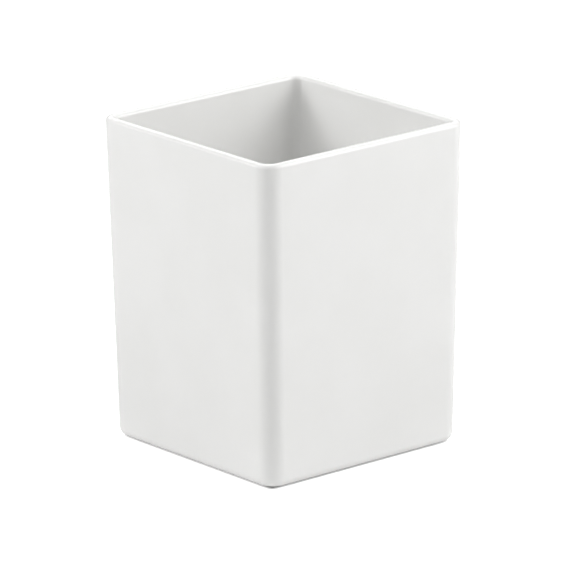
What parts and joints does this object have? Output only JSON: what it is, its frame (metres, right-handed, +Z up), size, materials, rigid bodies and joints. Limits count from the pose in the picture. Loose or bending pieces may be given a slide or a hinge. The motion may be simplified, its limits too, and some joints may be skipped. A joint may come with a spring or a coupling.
{
  "type": "pen holder cup",
  "caption": "Open-topped square pen cup with slightly tapered glossy walls, softly rounded corners and rim, and small round non-slip feet.",
  "frame": {"origin": "on the surface that the cup stands on, at the centre of the feet", "axes": "+Z up out of the open top, -Y towards the front, +X to the right; the walls face along X and Y"},
  "size_m": [0.08, 0.08, 0.102],
  "materials": {
    "cup_plastic": "moulded high gloss",
    "foot_rubber": "moulded matte"
  },
  "bodies": {
    "root": {"cup_body": "cup_plastic", "foot_front_left": "foot_rubber", "foot_front_right": "foot_rubber", "foot_rear_left": "foot_rubber", "foot_rear_right": "foot_rubber"}
  },
  "joints": []
}
